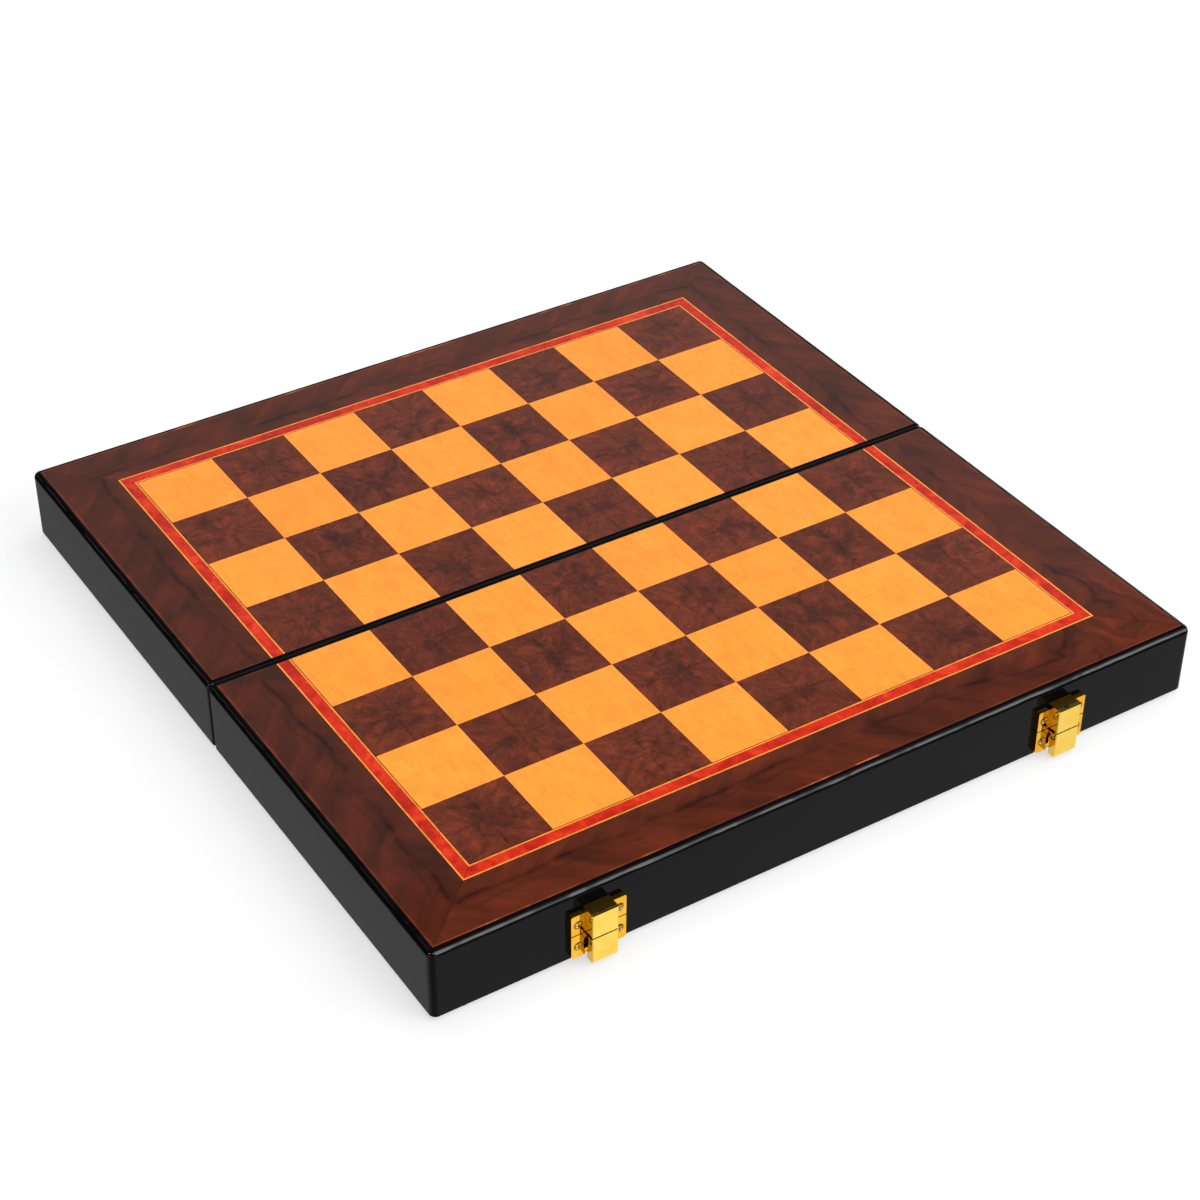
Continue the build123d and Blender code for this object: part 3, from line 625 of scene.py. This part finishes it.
dress(wire, "hinge_pins", "clasp_lever_pins", "hasp_pins")

# ---- padded floors of the compartments -----------------------------------
# Each half has one padded panel under its top. The dividers bear on it, and it swells in between them.
PAD_TOP, PAD_LOW = 0.0239, 0.0224
SIDE, NEAR, FAR = 0.1410, -0.1410, -0.0081
LINED_X, LINED_0, LINED_1 = 0.1402, -0.1402, -0.0089
SPLIT = -0.0652
THICK = 0.0026


def compartments():
    rooms = []
    for count, y0, y1 in ((8, LINED_0, SPLIT), (4, SPLIT + THICK, LINED_1)):
        pitch = (2 * LINED_X + THICK) / count
        for k in range(count):
            x0 = -LINED_X + k * pitch
            rooms.append((x0, x0 + pitch - THICK, y0, y1))
    return rooms


ROOMS = compartments()


def pad_height(x, y):
    for x0, x1, y0, y1 in ROOMS:
        if x0 <= x <= x1 and y0 <= y <= y1:
            dx, dy = min(x - x0, x1 - x), min(y - y0, y1 - y)
            sink = 0.0
            for d, reach in ((dx, 0.0060), (dy, 0.0070)):
                t = max(0.0, 1.0 - d / reach)
                sink = max(sink, 0.00095 * t ** 2.2)
            # a few shallow puckers where the cloth is pulled over the edge
            pull = max(0.0, 1.0 - min(dx, dy) / 0.009)
            pucker = 0.00012 * pull * math.sin(x * 900.0 + 1.7 * math.sin(y * 310.0)) * math.sin(y * 760.0 + 1.3 * math.sin(x * 270.0))
            rim = min(1.0, min(dx, dy) / 0.0006)
            return PAD_LOW + max(0.0, sink * rim + pucker * rim * 0.5)
    return PAD_LOW


def spread(limits, walls, step):
    """Grid lines: even ones, and closer ones beside every wall."""
    lines = set()
    n = round((limits[1] - limits[0]) / step)
    for i in range(n + 1):
        lines.add(limits[0] + (limits[1] - limits[0]) * i / n)
    for wall in walls:
        for d in (0.0, 0.0003, 0.0007, 0.0014, 0.0024, 0.0038, 0.0056):
            lines.add(wall - d)
            lines.add(wall + d)
    kept = []
    for v in sorted(v for v in lines if limits[0] <= v <= limits[1]):
        if not kept or v - kept[-1] > 0.00012:
            kept.append(v)
    kept[-1] = limits[1]
    return kept


def floor_pad(half, sign):
    xs = spread((-SIDE, SIDE), sorted({round(v, 6) for r in ROOMS for v in r[:2]}), 0.0040)
    ys = spread((NEAR, FAR), sorted({round(v, 6) for r in ROOMS for v in r[2:]}), 0.0040)
    nx, ny = len(xs), len(ys)
    verts = [(sign * x, sign * y, pad_height(x, y)) for y in ys for x in xs]
    low = len(verts)
    verts += [(sign * x, sign * y, PAD_TOP) for y in ys for x in xs]
    faces = []
    for j in range(ny - 1):
        for i in range(nx - 1):
            a = j * nx + i
            faces.append((a, a + nx, a + nx + 1, a + 1))
            faces.append((low + a, low + a + 1, low + a + nx + 1, low + a + nx))
    ring = [i for i in range(nx)] + [j * nx + nx - 1 for j in range(1, ny)]
    ring += [(ny - 1) * nx + i for i in range(nx - 2, -1, -1)] + [j * nx for j in range(ny - 2, 0, -1)]
    for a, b in zip(ring, ring[1:] + ring[:1]):
        faces.append((a, b, low + b, low + a))
    mesh = bpy.data.meshes.new(f"{half}_quilted_floor")
    mesh.from_pydata(verts, [], faces)
    mesh.polygons.foreach_set("use_smooth", [len(p.vertices) == 4 and i < 2 * (nx - 1) * (ny - 1) and i % 2 == 0 for i, p in enumerate(mesh.polygons)])
    mesh.validate()
    mesh.materials.append(lining)
    ob = bpy.data.objects.new(f"{half}_quilted_floor", mesh)
    scene.collection.objects.link(ob)
    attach(ob, f"{half}_half")
    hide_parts(f"{half}_floor_pad")
    return ob


for half, sign in (("front", 1), ("back", -1)):
    floor_pad(half, sign)

# flocked boards, linings and felt have soft edges
for half in ("front", "back"):
    for name, width in (("long_divider", 0.0006), ("major_dividers", 0.0006), ("pawn_dividers", 0.0006), ("wall_lining", 0.00025), ("felt_feet", 0.0003)):
        soft = nodes[f"{half}_{name}"].modifiers.new("soft_edge", "BEVEL")
        soft.width, soft.segments, soft.limit_method = width, 3, "ANGLE"
        soft.angle_limit = math.radians(50)

# ---- world ---------------------------------------------------------------
world = bpy.data.worlds.new("studio")
scene.world = world
world.use_nodes = True
wt = world.node_tree
wt.nodes.clear()


class Sky(Mat):
    """The studio round the object: white below the horizon and to the camera, dim above, dark at the back left."""

    def __init__(self, tree):
        self.nt = tree
        co = tree.nodes.new("ShaderNodeTexCoord")
        self.d = self.vec("NORMALIZE", co.outputs["Generated"])


sky = Sky(wt)
sx, sy, up = sky.split(sky.d)
ground = sky.span(up, -0.03, 0.03, 0.97, 0.0)
# the ground that the polish mirrors: a pale sheet round the object, which ends sooner to the front and to the left
to_front = sky.mul(sky.span(sx, 0.10, 0.28), sky.span(sy, -0.15, -0.35))
to_left = sky.mul(sky.span(sx, -0.05, -0.18), sky.span(sy, 0.30, 0.50))
to_corner = sky.mul(sky.mul(sky.span(sx, 0.0, -0.3), sky.span(sy, 0.05, -0.25)), sky.span(up, -0.50, -0.62))
light_level = sky.add(0.97, sky.mul(to_front, sky.sub(sky.span(sx, 0.30, 0.62, 1.12, 0.90, smooth=False), 0.97)))
light_level = sky.add(light_level, sky.mul(to_left, sky.sub(sky.span(sy, 0.55, 0.85, 0.67, 0.34, smooth=False), 0.97)))
light_level = sky.add(light_level, sky.mul(to_corner, 0.5 - 0.97))
near = sky.span(up, -0.54, -0.43, 1.0, 0.06)
far = sky.span(up, -0.30, -0.12, 1.0, 0.15)
zone = sky.math("MAXIMUM", to_front, to_left)
ends = sky.add(sky.mul(near, zone), sky.mul(far, sky.sub(1.0, zone)))
mirrored = sky.mul(sky.mul(light_level, ends), sky.span(up, -0.03, 0.0, 1.0, 0.0))
# low panels straight ahead and to each side, which the upright faces show when they are seen square on
square_on = sky.math("MINIMUM", sky.math("ABSOLUTE", sx), sky.math("ABSOLUTE", sy))
panel = sky.mul(sky.span(square_on, 0.10, 0.20, 1.0, 0.0), sky.mul(sky.span(up, -0.26, -0.10), sky.span(up, -0.02, 0.0, 1.0, 0.0)))
mirrored = sky.add(mirrored, sky.mul(panel, 1.25))
# what lights the object from above
flag = sky.vec("DOT_PRODUCT", sky.d, Vector((-0.66, 0.64, 0.40)).normalized())
flag = sky.span(flag, 0.50, 0.84, 1.0, 0.06)
back = sky.vec("DOT_PRODUCT", sky.d, Vector((0.43, 0.67, 0.60)).normalized())
dim = sky.span(back, 0.55, 0.95, 0.62, 0.45)
lit = sky.mul(sky.mul(dim, flag), sky.span(up, -0.03, 0.03, 0.0, 1.0))
# what its polish mirrors: a pale card behind and to the sides, fading towards the horizon, black overhead
card = sky.mul(sky.span(up, 0.70, 0.80, 1.0, 0.0), sky.span(sy, -0.45, 0.10, 0.35, 1.0))
card = sky.mul(card, sky.span(up, 0.40, 0.72, 0.62, 0.40))
card = sky.mul(card, sky.span(up, 0.16, 0.46, 0.04, 1.0))
card = sky.mul(card, sky.span(sky.sub(sy, sky.mul(up, 0.96)), -0.03, 0.02, 0.25, 1.0))
right_wall = sky.mul(sky.span(sx, 0.55, 0.75, 0.0, 0.75), sky.span(up, 0.20, 0.40, 1.0, 0.0))
seen = sky.mul(sky.math("MAXIMUM", card, right_wall), flag)
seen = sky.mul(seen, sky.span(up, -0.03, 0.03, 0.0, 1.0))
path = wt.nodes.new("ShaderNodeLightPath")
eye, mirror = path.outputs["Is Camera Ray"], path.outputs["Is Glossy Ray"]
above = sky.add(sky.mul(lit, sky.sub(1.0, mirror)), sky.mul(seen, mirror))
low = sky.add(sky.mul(ground, sky.sub(1.0, mirror)), sky.mul(mirrored, mirror))
level = sky.add(low, above)
level = sky.add(sky.mul(level, sky.sub(1.0, eye)), eye)
w_out = wt.nodes.new("ShaderNodeOutputWorld")
w_bg = wt.nodes.new("ShaderNodeBackground")
wt.links.new(w_bg.outputs[0], w_out.inputs[0])
w_bg.inputs[0].default_value = (1, 1, 1, 1)
wt.links.new(level, w_bg.inputs[1])
